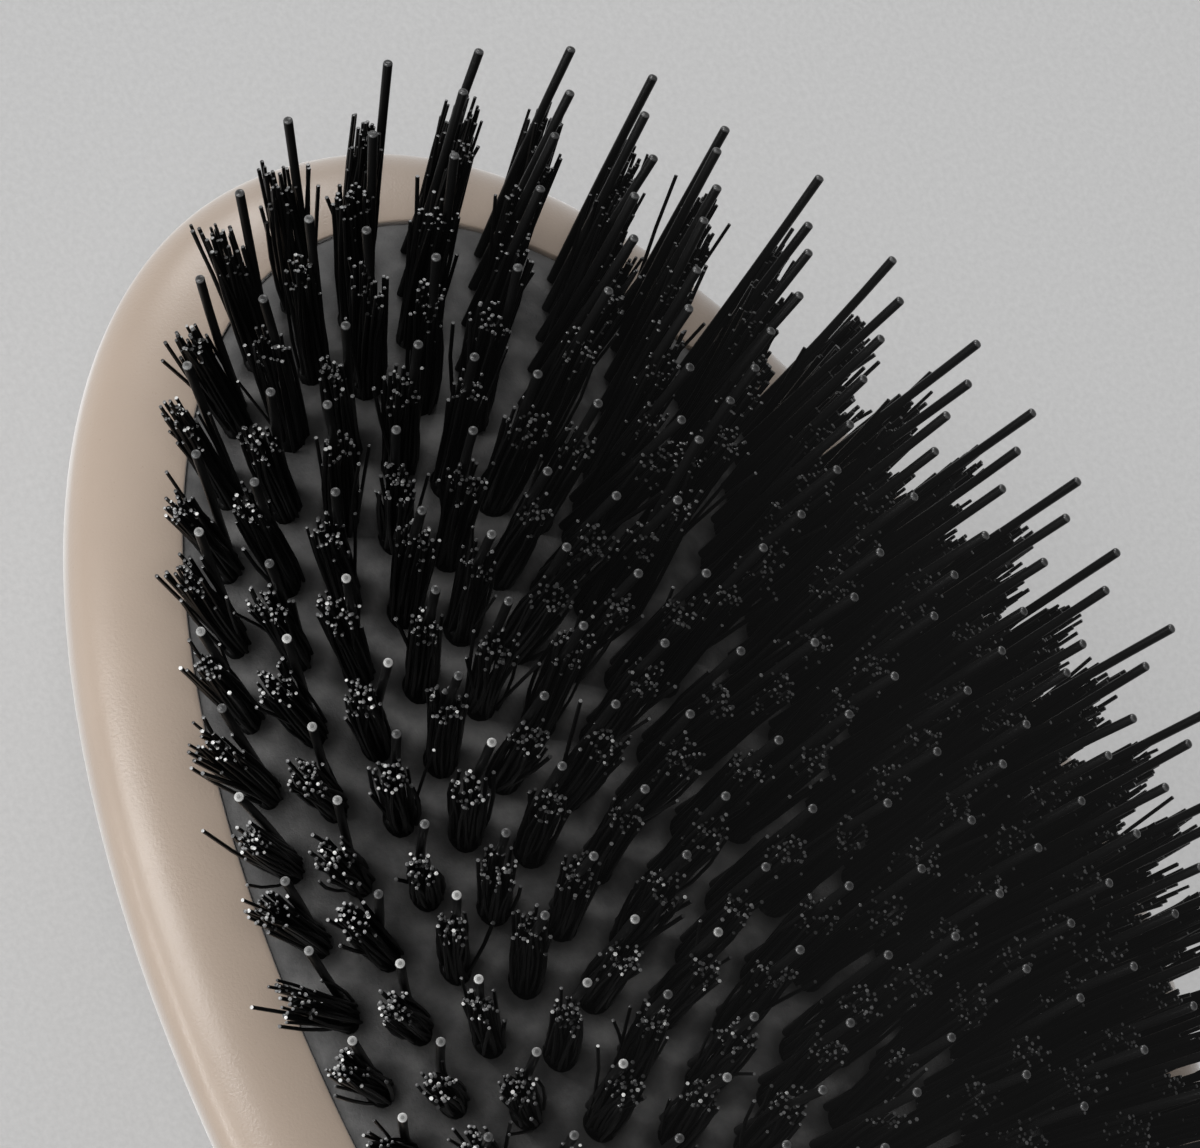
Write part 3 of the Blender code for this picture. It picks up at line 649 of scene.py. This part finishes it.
def add_bristles(gathered, line, chance):
    """Bunches whose feet are spread over a disc by the golden angle, each bristle a bowed tube."""
    count = line.count
    lean = line.outer + chance.normal(0.0, LEAN_SPREAD, count)
    up = line.leaning(lean, chance.normal(-BUNCH_BACK, LEAN_SPREAD / 2, count))[:, None]
    spread = np.sqrt((np.arange(BRISTLES) + 0.5) / BRISTLES)
    spin = chance.uniform(0.0, 2.0 * math.pi, (count, 1)) + np.arange(BRISTLES) * GOLDEN_ANGLE
    spin = spin + chance.normal(0.0, SPIN_SPREAD, (count, BRISTLES))
    disc = np.cos(spin)[..., None] * line.along[:, None]
    disc = (disc + np.sin(spin)[..., None] * line.outward[:, None]) * spread[None, :, None]
    foot = line.bunch_root[:, None] + disc * BUNCH_RADIUS - up * ROOT_DEPTH
    tip = bristle_tips(line, up, disc, chance)
    bend = chance.normal(0.0, BUNCH_BEND, (count, BRISTLES, 3))
    strands, rings, sides = count * BRISTLES, BRISTLE_RINGS, BRISTLE_SIDES
    radius = BRISTLE_RADIUS * chance.uniform(*BRISTLE_RADII, strands)
    grid = strand_grid(*(ends.reshape(-1, 3) for ends in (foot, tip, bend)), radius)
    # Each end closes to a middle point raised or sunk a little, so the cut faces differ in slant.
    middle = grid[:, -1].mean(axis=1) + up.repeat(BRISTLES, axis=1).reshape(-1, 3) * CUT_RISE
    middle = middle + chance.normal(0.0, CUT_SPREAD, (strands, 3))
    last = np.arange(strands) * rings * sides + (rings - 1) * sides
    centre = strands * rings * sides + np.arange(strands)
    caps = [
        np.stack([last + side, last + (side + 1) % sides, centre], axis=1)
        for side in range(sides)
    ]
    # The tone is random for each strand and is darkened by the painted shade.
    tone_and_painted_shade = chance.random(strands) * line.painted_shade.repeat(BRISTLES)
    quads = tube_faces(strands, rings, sides)
    gathered.add(
        np.concatenate([grid.reshape(-1, 3), middle]),
        quads,
        (np.zeros(len(quads)), np.repeat(tone_and_painted_shade, (rings - 1) * sides)),
        np.concatenate(caps),
        (np.ones(strands * sides), np.tile(tone_and_painted_shade, sides)),
    )


def add_pins(gathered, line, chance):
    """Straight tubes with a rounded end; a painted highlight, a pale ring, marks where the round
    end starts.
    """
    count = line.count
    foot = line.root + line.along * PIN_SHIFT
    lean = PIN_LEAN + PIN_OUTER * line.outer - PIN_UPRIGHT * line.left
    lean = lean + chance.normal(0.0, PIN_SPREAD, count)
    way = line.leaning(lean, chance.normal(-PIN_BACK, PIN_WANDER, count))
    length = PIN_LENGTH - PIN_RADIUS + chance.normal(0.0, PIN_LENGTHS, count)[:, None]
    heights = np.array(PIN_SHAFT)[None, :] * np.ones((count, 1))
    dome = length + PIN_RADIUS * DOME_HEIGHT * np.array(PIN_DOME)[None, :]
    heights = np.concatenate([heights, dome], axis=1)
    bow = chance.normal(0.0, PIN_BOW, (count, 1, 3))
    bow = bow * np.sin(math.pi * heights / PIN_LENGTH)[..., None]
    grid = foot[:, None] + way[:, None] * heights[..., None] + bow
    widths = PIN_RADIUS * np.array(PIN_WIDTHS)
    circle = circle_of(*square_to(way), PIN_SIDES)
    grid = grid[:, :, None] + circle * widths[None, :, None, None]
    painted_highlight = np.tile(np.repeat(np.array(PIN_HIGHLIGHT), PIN_SIDES), count)
    # Each pin's tone is darkened by the painted shade too.
    tone_and_painted_shade = (PIN_TONE + PIN_TONES * chance.random(count)) * line.painted_shade
    quads = tube_faces(count, len(PIN_WIDTHS), PIN_SIDES)
    gathered.add(grid, quads, (painted_highlight, np.repeat(tone_and_painted_shade, len(PIN_HIGHLIGHT) * PIN_SIDES)))


def add_collars(gathered, line):
    """The rounded base where each bunch enters the rubber: a low dome of quarter-circle section."""
    arc = np.linspace(0.0, math.pi / 2, COLLAR_RINGS)
    width = np.maximum(COLLAR_RADIUS * np.cos(arc), COLLAR_TOP)
    rise = COLLAR_HEIGHT * np.sin(arc) - COLLAR_FOOT
    up = line.leaning(np.full(line.count, line.outer), np.zeros(line.count))
    circle = circle_of(line.along, line.outward, COLLAR_SIDES)
    grid = line.bunch_root[:, None, None] + circle * width[None, :, None, None]
    grid = grid + up[:, None, None] * rise[None, :, None, None]
    quads = tube_faces(line.count, COLLAR_RINGS, COLLAR_SIDES)
    gathered.add(grid, quads, (np.zeros(len(quads)), np.zeros(len(quads))))


def make_row(row):
    """A row's tufts: in each a collar, a bunch of bristles with uneven ends, and one pin."""
    line = Row(row)
    chance = np.random.default_rng(100 + row)
    gathered = Gathered()
    add_bristles(gathered, line, chance)
    add_pins(gathered, line, chance)
    add_collars(gathered, line)
    obj = add_piece(
        f"tufts_{row + 1}",
        np.concatenate(gathered.points),
        np.concatenate(gathered.quads),
        f"row_{row + 1}",
        TUFT_SHARP,
        triangles=np.concatenate(gathered.triangles),
    )
    values = np.concatenate(gathered.quad_values + gathered.triangle_values, axis=1)
    add_values(obj, "gloss_and_painted_highlight", values[0])
    add_values(obj, "tone_and_painted_shade", values[1])
    nodes = [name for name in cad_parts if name.startswith(f"tufts_row{row + 1}")]
    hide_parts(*nodes)
    return obj


def add_values(obj, name, values, domain="FACE"):
    """One value for each face or point, which a material reads by its name."""
    attribute = obj.data.attributes.new(name, "FLOAT", domain)
    attribute.data.foreach_set("value", values.astype(np.float32))


def root_distance(points):
    """Distance in plan from each point to the nearest bunch, over all rows."""
    best = np.full(len(points), np.inf)
    for row in range(ROW_COUNT):
        spot = Row(row).bunch_root
        # The points are taken in parts, which keeps the table of distances small.
        for part in np.array_split(np.arange(len(points)), 8):
            gap = points[part, None, :2] - spot[None, :, :2]
            best[part] = np.minimum(best[part], np.sqrt((gap**2).sum(axis=2)).min(axis=1))
    return best


def vent_place():
    """The middle of the gap between two tufts at the heel, as in the source."""
    line = Row(VENT_ROW)
    x, y = oval(line.place_at(np.arange(line.count) + 0.5), line.inset)
    pick = int(np.argmin(np.abs(x) + (y > WIDEST_Y)))
    return np.array([x[pick], y[pick]])


def crown_grid(sections, insets, drop):
    """The crown's points at even angles and each inset, lowered by drop."""
    angles = np.arange(sections) * 2.0 * math.pi / sections
    x, y = oval(angles[:, None], insets[None, :])
    return np.stack([x, y, np.broadcast_to(crown_z(insets) - drop, x.shape)], axis=2)


def flatten(obj):
    """Gives the object its own copy of its mesh."""
    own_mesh(obj)


def make_cushion():
    """The rubber's crown with a rolled edge and a skirt, a dent round each tuft and the vent.

    A dent is depth * exp(-(distance / radius)^2) deep.
    """
    turn = np.linspace(0.0, math.pi / 2, ROLL_RINGS)
    rolled = PAD_EDGE + PAD_ROUND * (1.0 - np.cos(turn))
    insets = np.linspace(rolled[-1], PAD_HALF_WIDTH, CROWN_RINGS)[1:]
    grid = crown_grid(RUBBER_SECTIONS, np.concatenate([rolled, insets]), 0.0)
    grid[:, :ROLL_RINGS, 2] -= PAD_ROUND * (1.0 - np.sin(turn))[None, :]
    flat = grid.reshape(-1, 3)
    distance = root_distance(flat)
    hole = np.hypot(*(flat[:, :2] - vent_place()).T)
    dent = DENT_DEPTH * np.exp(-((distance / DENT_RADIUS) ** 2))
    flat[:, 2] -= dent + VENT_DEPTH * (hole < VENT_RADIUS)
    # The skirt goes down into the recess and turns in at its foot.
    skirt = grid[:, :1, :].copy()
    skirt[:, :, 2] = FLOOR_Z + GAP
    under = skirt.copy()
    under[:, :, 0] *= SKIRT_TURN
    whole = np.concatenate([under, skirt, grid], axis=1)
    faces = grid_faces(whole.shape[0], whole.shape[1], wrap=True)
    points = whole.reshape(-1, 3)
    obj = add_piece("cushion_rubber", points, faces, "brush_body", SHEET_SHARP)
    below = np.full((RUBBER_SECTIONS, 2), SKIRT_GAP)
    root_gap = np.concatenate([below, distance.reshape(RUBBER_SECTIONS, -1)], axis=1)
    add_values(obj, "root_gap", root_gap.ravel() * 1000.0, domain="POINT")
    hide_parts("cushion_margin")
    flatten(obj)
    return obj


def make_cloth():
    """The middle surface of the cloth: the crown, lowered by the rubber and half the cloth."""
    insets = np.linspace(CLOTH_INSET, PAD_HALF_WIDTH, CLOTH_RINGS)
    drop = RUBBER + GAP + CLOTH_THICKNESS / 2.0
    grid = crown_grid(CLOTH_SECTIONS, insets, drop)
    faces = grid_faces(CLOTH_SECTIONS, CLOTH_RINGS, wrap=True)
    points = grid.reshape(-1, 3)
    obj = add_piece("backing_cloth_sheet", points, faces, "brush_body", SHEET_SHARP)
    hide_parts("backing_cloth")
    flatten(obj)
    return obj


# Materials


def new_group(name, inputs, outputs):
    """An empty node group with its sockets."""
    group = bpy.data.node_groups.new(name, "ShaderNodeTree")
    for kind, label, value in inputs:
        socket = group.interface.new_socket(label, in_out="INPUT", socket_type=kind)
        socket.default_value = value
    for kind, label in outputs:
        group.interface.new_socket(label, in_out="OUTPUT", socket_type=kind)
    return group, group.nodes.new("NodeGroupInput"), group.nodes.new("NodeGroupOutput")


def grain_group():
    """Two sizes of noise over the object's coordinates: two masks and a bumped normal."""
    group, source, target = new_group(
        "grain",
        [
            ("NodeSocketFloat", "Coarse", 60.0),
            ("NodeSocketFloat", "Fine", 2500.0),
            ("NodeSocketFloat", "Height", 0.1),
        ],
        [
            ("NodeSocketFloat", "Coarse mask"),
            ("NodeSocketFloat", "Fine mask"),
            ("NodeSocketVector", "Normal"),
        ],
    )
    place = group.nodes.new("ShaderNodeTexCoord")
    masks = []
    for label, detail in (("Coarse", 4.0), ("Fine", 2.0)):
        noise = group.nodes.new("ShaderNodeTexNoise")
        noise.inputs["Detail"].default_value = detail
        noise.inputs["Roughness"].default_value = 0.6
        group.links.new(place.outputs["Object"], noise.inputs["Vector"])
        group.links.new(source.outputs[label], noise.inputs["Scale"])
        group.links.new(noise.outputs["Fac"], target.inputs[label + " mask"])
        masks.append(noise)
    bump = group.nodes.new("ShaderNodeBump")
    bump.inputs["Distance"].default_value = 0.00005
    group.links.new(source.outputs["Height"], bump.inputs["Strength"])
    group.links.new(masks[1].outputs["Fac"], bump.inputs["Height"])
    group.links.new(bump.outputs["Normal"], target.inputs["Normal"])
    return group


def painted_haze_group():
    """Painted light: a glow's strength on dark things, for the backdrop's light that the lens
    scatters.

    It rises from Low to High along the picture's right.
    """
    group, source, target = new_group(
        "painted_haze",
        [("NodeSocketFloat", "Low", 0.0), ("NodeSocketFloat", "High", 0.005)],
        [("NodeSocketFloat", "Strength")],
    )
    place = group.nodes.new("ShaderNodeTexCoord")
    across = group.nodes.new("ShaderNodeVectorMath")
    across.operation = "DOT_PRODUCT"
    across.inputs[1].default_value = CAMERA_RIGHT
    group.links.new(place.outputs["Object"], across.inputs[0])
    strength = group.nodes.new("ShaderNodeMapRange")
    strength.inputs["From Min"].default_value = HAZE_FROM
    strength.inputs["From Max"].default_value = HAZE_TO
    group.links.new(across.outputs["Value"], strength.inputs["Value"])
    group.links.new(source.outputs["Low"], strength.inputs["To Min"])
    group.links.new(source.outputs["High"], strength.inputs["To Max"])
    group.links.new(strength.outputs["Result"], target.inputs["Strength"])
    return group


def add_painted_haze(material, nodes, links, shader, low, high):
    """The painted haze on a material, which glows though it is no lamp. Its glow lights nothing
    else, so it isn't sampled as a light.
    """
    node = nodes.new("ShaderNodeGroup")
    node.node_tree = PAINTED_HAZE
    node.inputs["Low"].default_value = low
    node.inputs["High"].default_value = high
    shader.inputs["Emission Color"].default_value = (1.0, 1.0, 1.0, 1.0)
    links.new(node.outputs["Strength"], shader.inputs["Emission Strength"])
    material.cycles.emission_sampling = "NONE"


def new_material(name):
    material = bpy.data.materials.new(name)
    material.use_nodes = True
    tree = material.node_tree
    return material, tree.nodes, tree.links, tree.nodes["Principled BSDF"]


def add_grain(nodes, coarse, fine, height):
    node = nodes.new("ShaderNodeGroup")
    node.node_tree = GRAIN
    node.inputs["Coarse"].default_value = coarse
    node.inputs["Fine"].default_value = fine
    node.inputs["Height"].default_value = height
    return node


def colour_ramp(nodes, links, value, stops):
    """A colour from a value, through (position, colour) stops."""
    ramp = nodes.new("ShaderNodeValToRGB")
    elements = ramp.color_ramp.elements
    while len(elements) < len(stops):
        elements.new(0.5)
    for element, (position, colour) in zip(elements, stops):
        element.position = position
        element.color = (*colour, 1.0)
    links.new(value, ramp.inputs["Fac"])
    return ramp.outputs["Color"]


def value_range(nodes, links, value, low, high):
    """A value from 0..1 carried over to low..high."""
    node = nodes.new("ShaderNodeMapRange")
    node.inputs["To Min"].default_value = low
    node.inputs["To Max"].default_value = high
    links.new(value, node.inputs["Value"])
    return node.outputs["Result"]


def join_surface(nodes, links, shader, colour, grain, mask, low, high):
    """The colour, a roughness from low to high over one of the grain's masks, and its normal."""
    links.new(colour, shader.inputs["Base Color"])
    roughness = value_range(nodes, links, grain.outputs[mask], low, high)
    links.new(roughness, shader.inputs["Roughness"])
    links.new(grain.outputs["Normal"], shader.inputs["Normal"])


def soft_touch_material():
    """Beige plastic with a satin soft-touch coat: faint cloudiness and a very fine grain."""
    material, nodes, links, shader = new_material("soft_touch_look")
    grain = add_grain(nodes, coarse=55.0, fine=5200.0, height=0.3)
    colour = colour_ramp(nodes, links, grain.outputs["Coarse mask"], BODY_STOPS)
    join_surface(nodes, links, shader, colour, grain, "Fine mask", low=0.24, high=0.36)
    shader.inputs["IOR"].default_value = 1.48
    shader.inputs["Sheen Weight"].default_value = 0.95
    shader.inputs["Sheen Roughness"].default_value = 0.42
    return material


def rubber_material():
    """Dark grey rubber: dusty, mottled, and darkened round each tuft by painted shade."""
    material, nodes, links, shader = new_material("rubber_look")
    grain = add_grain(nodes, coarse=520.0, fine=5200.0, height=0.55)
    dust = colour_ramp(nodes, links, grain.outputs["Coarse mask"], RUBBER_STOPS)
    # Painted shade: the colour is multiplied darker near each tuft's root, by the distance in
    # root_gap.
    near = nodes.new("ShaderNodeAttribute")
    near.attribute_name = "root_gap"
    shade = nodes.new("ShaderNodeMapRange")
    shade.interpolation_type = "SMOOTHSTEP"
    shade.inputs["From Min"].default_value = 0.9
    shade.inputs["From Max"].default_value = 2.4
    shade.inputs["To Min"].default_value = 0.3
    shade.inputs["To Max"].default_value = 1.0
    links.new(near.outputs["Fac"], shade.inputs["Value"])
    mix = nodes.new("ShaderNodeMix")
    mix.data_type = "RGBA"
    mix.blend_type = "MULTIPLY"
    mix.inputs["Factor"].default_value = 1.0
    links.new(dust, mix.inputs["A"])
    links.new(shade.outputs["Result"], mix.inputs["B"])
    colour = mix.outputs["Result"]
    join_surface(nodes, links, shader, colour, grain, "Coarse mask", low=0.5, high=0.72)
    add_painted_haze(material, nodes, links, shader, low=0.0, high=0.005)
    return material


def bristle_material():
    """Glossy black nylon whose cut ends are painted pale as highlights, each strand a little
    different.
    """
    material, nodes, links, shader = new_material("bristle_look")
    grain = add_grain(nodes, coarse=900.0, fine=9000.0, height=0.06)
    tone_and_painted_shade = nodes.new("ShaderNodeAttribute")
    tone_and_painted_shade.attribute_name = "tone_and_painted_shade"
    body = colour_ramp(nodes, links, tone_and_painted_shade.outputs["Fac"], BRISTLE_STOPS)
    painted_highlight = colour_ramp(nodes, links, tone_and_painted_shade.outputs["Fac"], END_HIGHLIGHT_STOPS)
    # Painted highlight: the cut ends and the pins' rings take a pale colour, and their gloss rises.
    end = nodes.new("ShaderNodeAttribute")
    end.attribute_name = "gloss_and_painted_highlight"
    mix = nodes.new("ShaderNodeMix")
    mix.data_type = "RGBA"
    links.new(end.outputs["Fac"], mix.inputs["Factor"])
    links.new(body, mix.inputs["A"])
    links.new(painted_highlight, mix.inputs["B"])
    colour = mix.outputs["Result"]
    join_surface(nodes, links, shader, colour, grain, "Fine mask", low=0.26, high=0.42)
    gloss = value_range(nodes, links, end.outputs["Fac"], low=0.13, high=0.95)
    links.new(gloss, shader.inputs["Specular IOR Level"])
    add_painted_haze(material, nodes, links, shader, low=0.0002, high=0.005)
    return material


def frame_material():
    """Moulded dark plastic of the hidden frame."""
    material, nodes, links, shader = new_material("frame_look")
    grain = add_grain(nodes, coarse=120.0, fine=4000.0, height=0.25)
    colour = colour_ramp(nodes, links, grain.outputs["Coarse mask"], FRAME_STOPS)
    join_surface(nodes, links, shader, colour, grain, "Fine mask", low=0.42, high=0.6)
    return material


def cloth_material():
    """Woven backing cloth: crossed waves for the threads."""
    material, nodes, links, shader = new_material("cloth_look")
    place = nodes.new("ShaderNodeTexCoord")
    threads = []
    for direction in ("X", "Y"):
        wave = nodes.new("ShaderNodeTexWave")
        wave.bands_direction = direction
        wave.inputs["Scale"].default_value = 900.0
        wave.inputs["Distortion"].default_value = 1.5
        links.new(place.outputs["Object"], wave.inputs["Vector"])
        threads.append(wave)
    mix = nodes.new("ShaderNodeMath")
    mix.operation = "MULTIPLY"
    links.new(threads[0].outputs["Fac"], mix.inputs[0])
    links.new(threads[1].outputs["Fac"], mix.inputs[1])
    colour = colour_ramp(nodes, links, mix.outputs["Value"], CLOTH_STOPS)
    links.new(colour, shader.inputs["Base Color"])
    bump = nodes.new("ShaderNodeBump")
    bump.inputs["Strength"].default_value = 0.5
    bump.inputs["Distance"].default_value = 0.0001
    links.new(mix.outputs["Value"], bump.inputs["Height"])
    links.new(bump.outputs["Normal"], shader.inputs["Normal"])
    shader.inputs["Roughness"].default_value = 0.9
    return material


def backdrop_material():
    """A pale grey table that glows a little, as a studio light table does."""
    material, nodes, links, shader = new_material("backdrop_look")
    grain = add_grain(nodes, coarse=300.0, fine=2600.0, height=0.2)
    colour = colour_ramp(nodes, links, grain.outputs["Fine mask"], TABLE_STOPS)
    links.new(colour, shader.inputs["Base Color"])
    links.new(colour, shader.inputs["Emission Color"])
    shader.inputs["Emission Strength"].default_value = 1.61
    shader.inputs["Roughness"].default_value = 0.9
    return material


def dress(obj, material):
    obj.data.materials.clear()
    obj.data.materials.append(material)


# Stage, lights and camera


def make_stage(material):
    """The table: one square face, a little below the brush so that the two never share a plane."""
    mesh = bpy.data.meshes.new("table")
    corners = [(-1, -1), (1, -1), (1, 1), (-1, 1)]
    points = [(x * TABLE_HALF, y * TABLE_HALF, 0.0) for x, y in corners]
    mesh.from_pydata(points, [], [(0, 1, 2, 3)])
    table = bpy.data.objects.new("table", mesh)
    table.location.z = -TABLE_DROP
    bpy.context.scene.collection.objects.link(table)
    table.data.materials.append(material)


def make_lights():
    """Rectangular lights aimed at the head, in a faintly lit room."""
    for name, place, size, watts in LIGHTS:
        data = bpy.data.lights.new(name, "AREA")
        data.shape = "RECTANGLE"
        data.size, data.size_y = size
        data.energy = watts
        lamp = bpy.data.objects.new(name, data)
        lamp.location = place
        lamp.rotation_euler = (Vector(AIM) - Vector(place)).to_track_quat("-Z", "Y").to_euler()
        # The front light stands behind the camera and reaches the rubber between the tufts.
        # The glossy strands don't mirror it.
        lamp.visible_glossy = name != "front"
        bpy.context.scene.collection.objects.link(lamp)
    world = bpy.data.worlds.new("studio")
    world.use_nodes = True
    background = world.node_tree.nodes["Background"]
    background.inputs["Color"].default_value = ROOM_COLOUR
    background.inputs["Strength"].default_value = ROOM_STRENGTH
    bpy.context.scene.world = world
    bpy.context.scene.view_settings.view_transform = "Standard"


def make_camera():
    """The camera's axes are the right, down and forward directions found from the photograph."""
    right, down, forward = Vector(CAMERA_RIGHT), Vector(CAMERA_DOWN), Vector(CAMERA_FORWARD)
    aside, below = (pixels / FOCAL_PIXELS for pixels in AXIS_PIXELS)
    forward = (forward - right * aside - down * below).normalized()
    right = (right - forward * right.dot(forward)).normalized()
    down = forward.cross(right)
    data = bpy.data.cameras.new("camera")
    data.sensor_width = SENSOR_WIDTH
    data.sensor_fit = "HORIZONTAL"
    data.lens = FOCAL_PIXELS / IMAGE_WIDTH * data.sensor_width
    data.clip_start = 0.01
    camera = bpy.data.objects.new("camera", data)
    turn = Matrix((right, -down, -forward)).transposed().to_4x4()
    camera.matrix_world = Matrix.Translation(CAMERA_PLACE) @ turn
    bpy.context.scene.collection.objects.link(camera)
    bpy.context.scene.camera = camera


GRAIN = grain_group()
PAINTED_HAZE = painted_haze_group()
soft_touch = soft_touch_material()
bristle = bristle_material()
make_camera()
for obj in make_body():
    dress(obj, soft_touch)
dress(make_cushion(), rubber_material())
for row in range(ROW_COUNT):
    dress(make_row(row), bristle)
dress(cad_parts["cushion_frame"], frame_material())
dress(make_cloth(), cloth_material())
make_stage(backdrop_material())
make_lights()
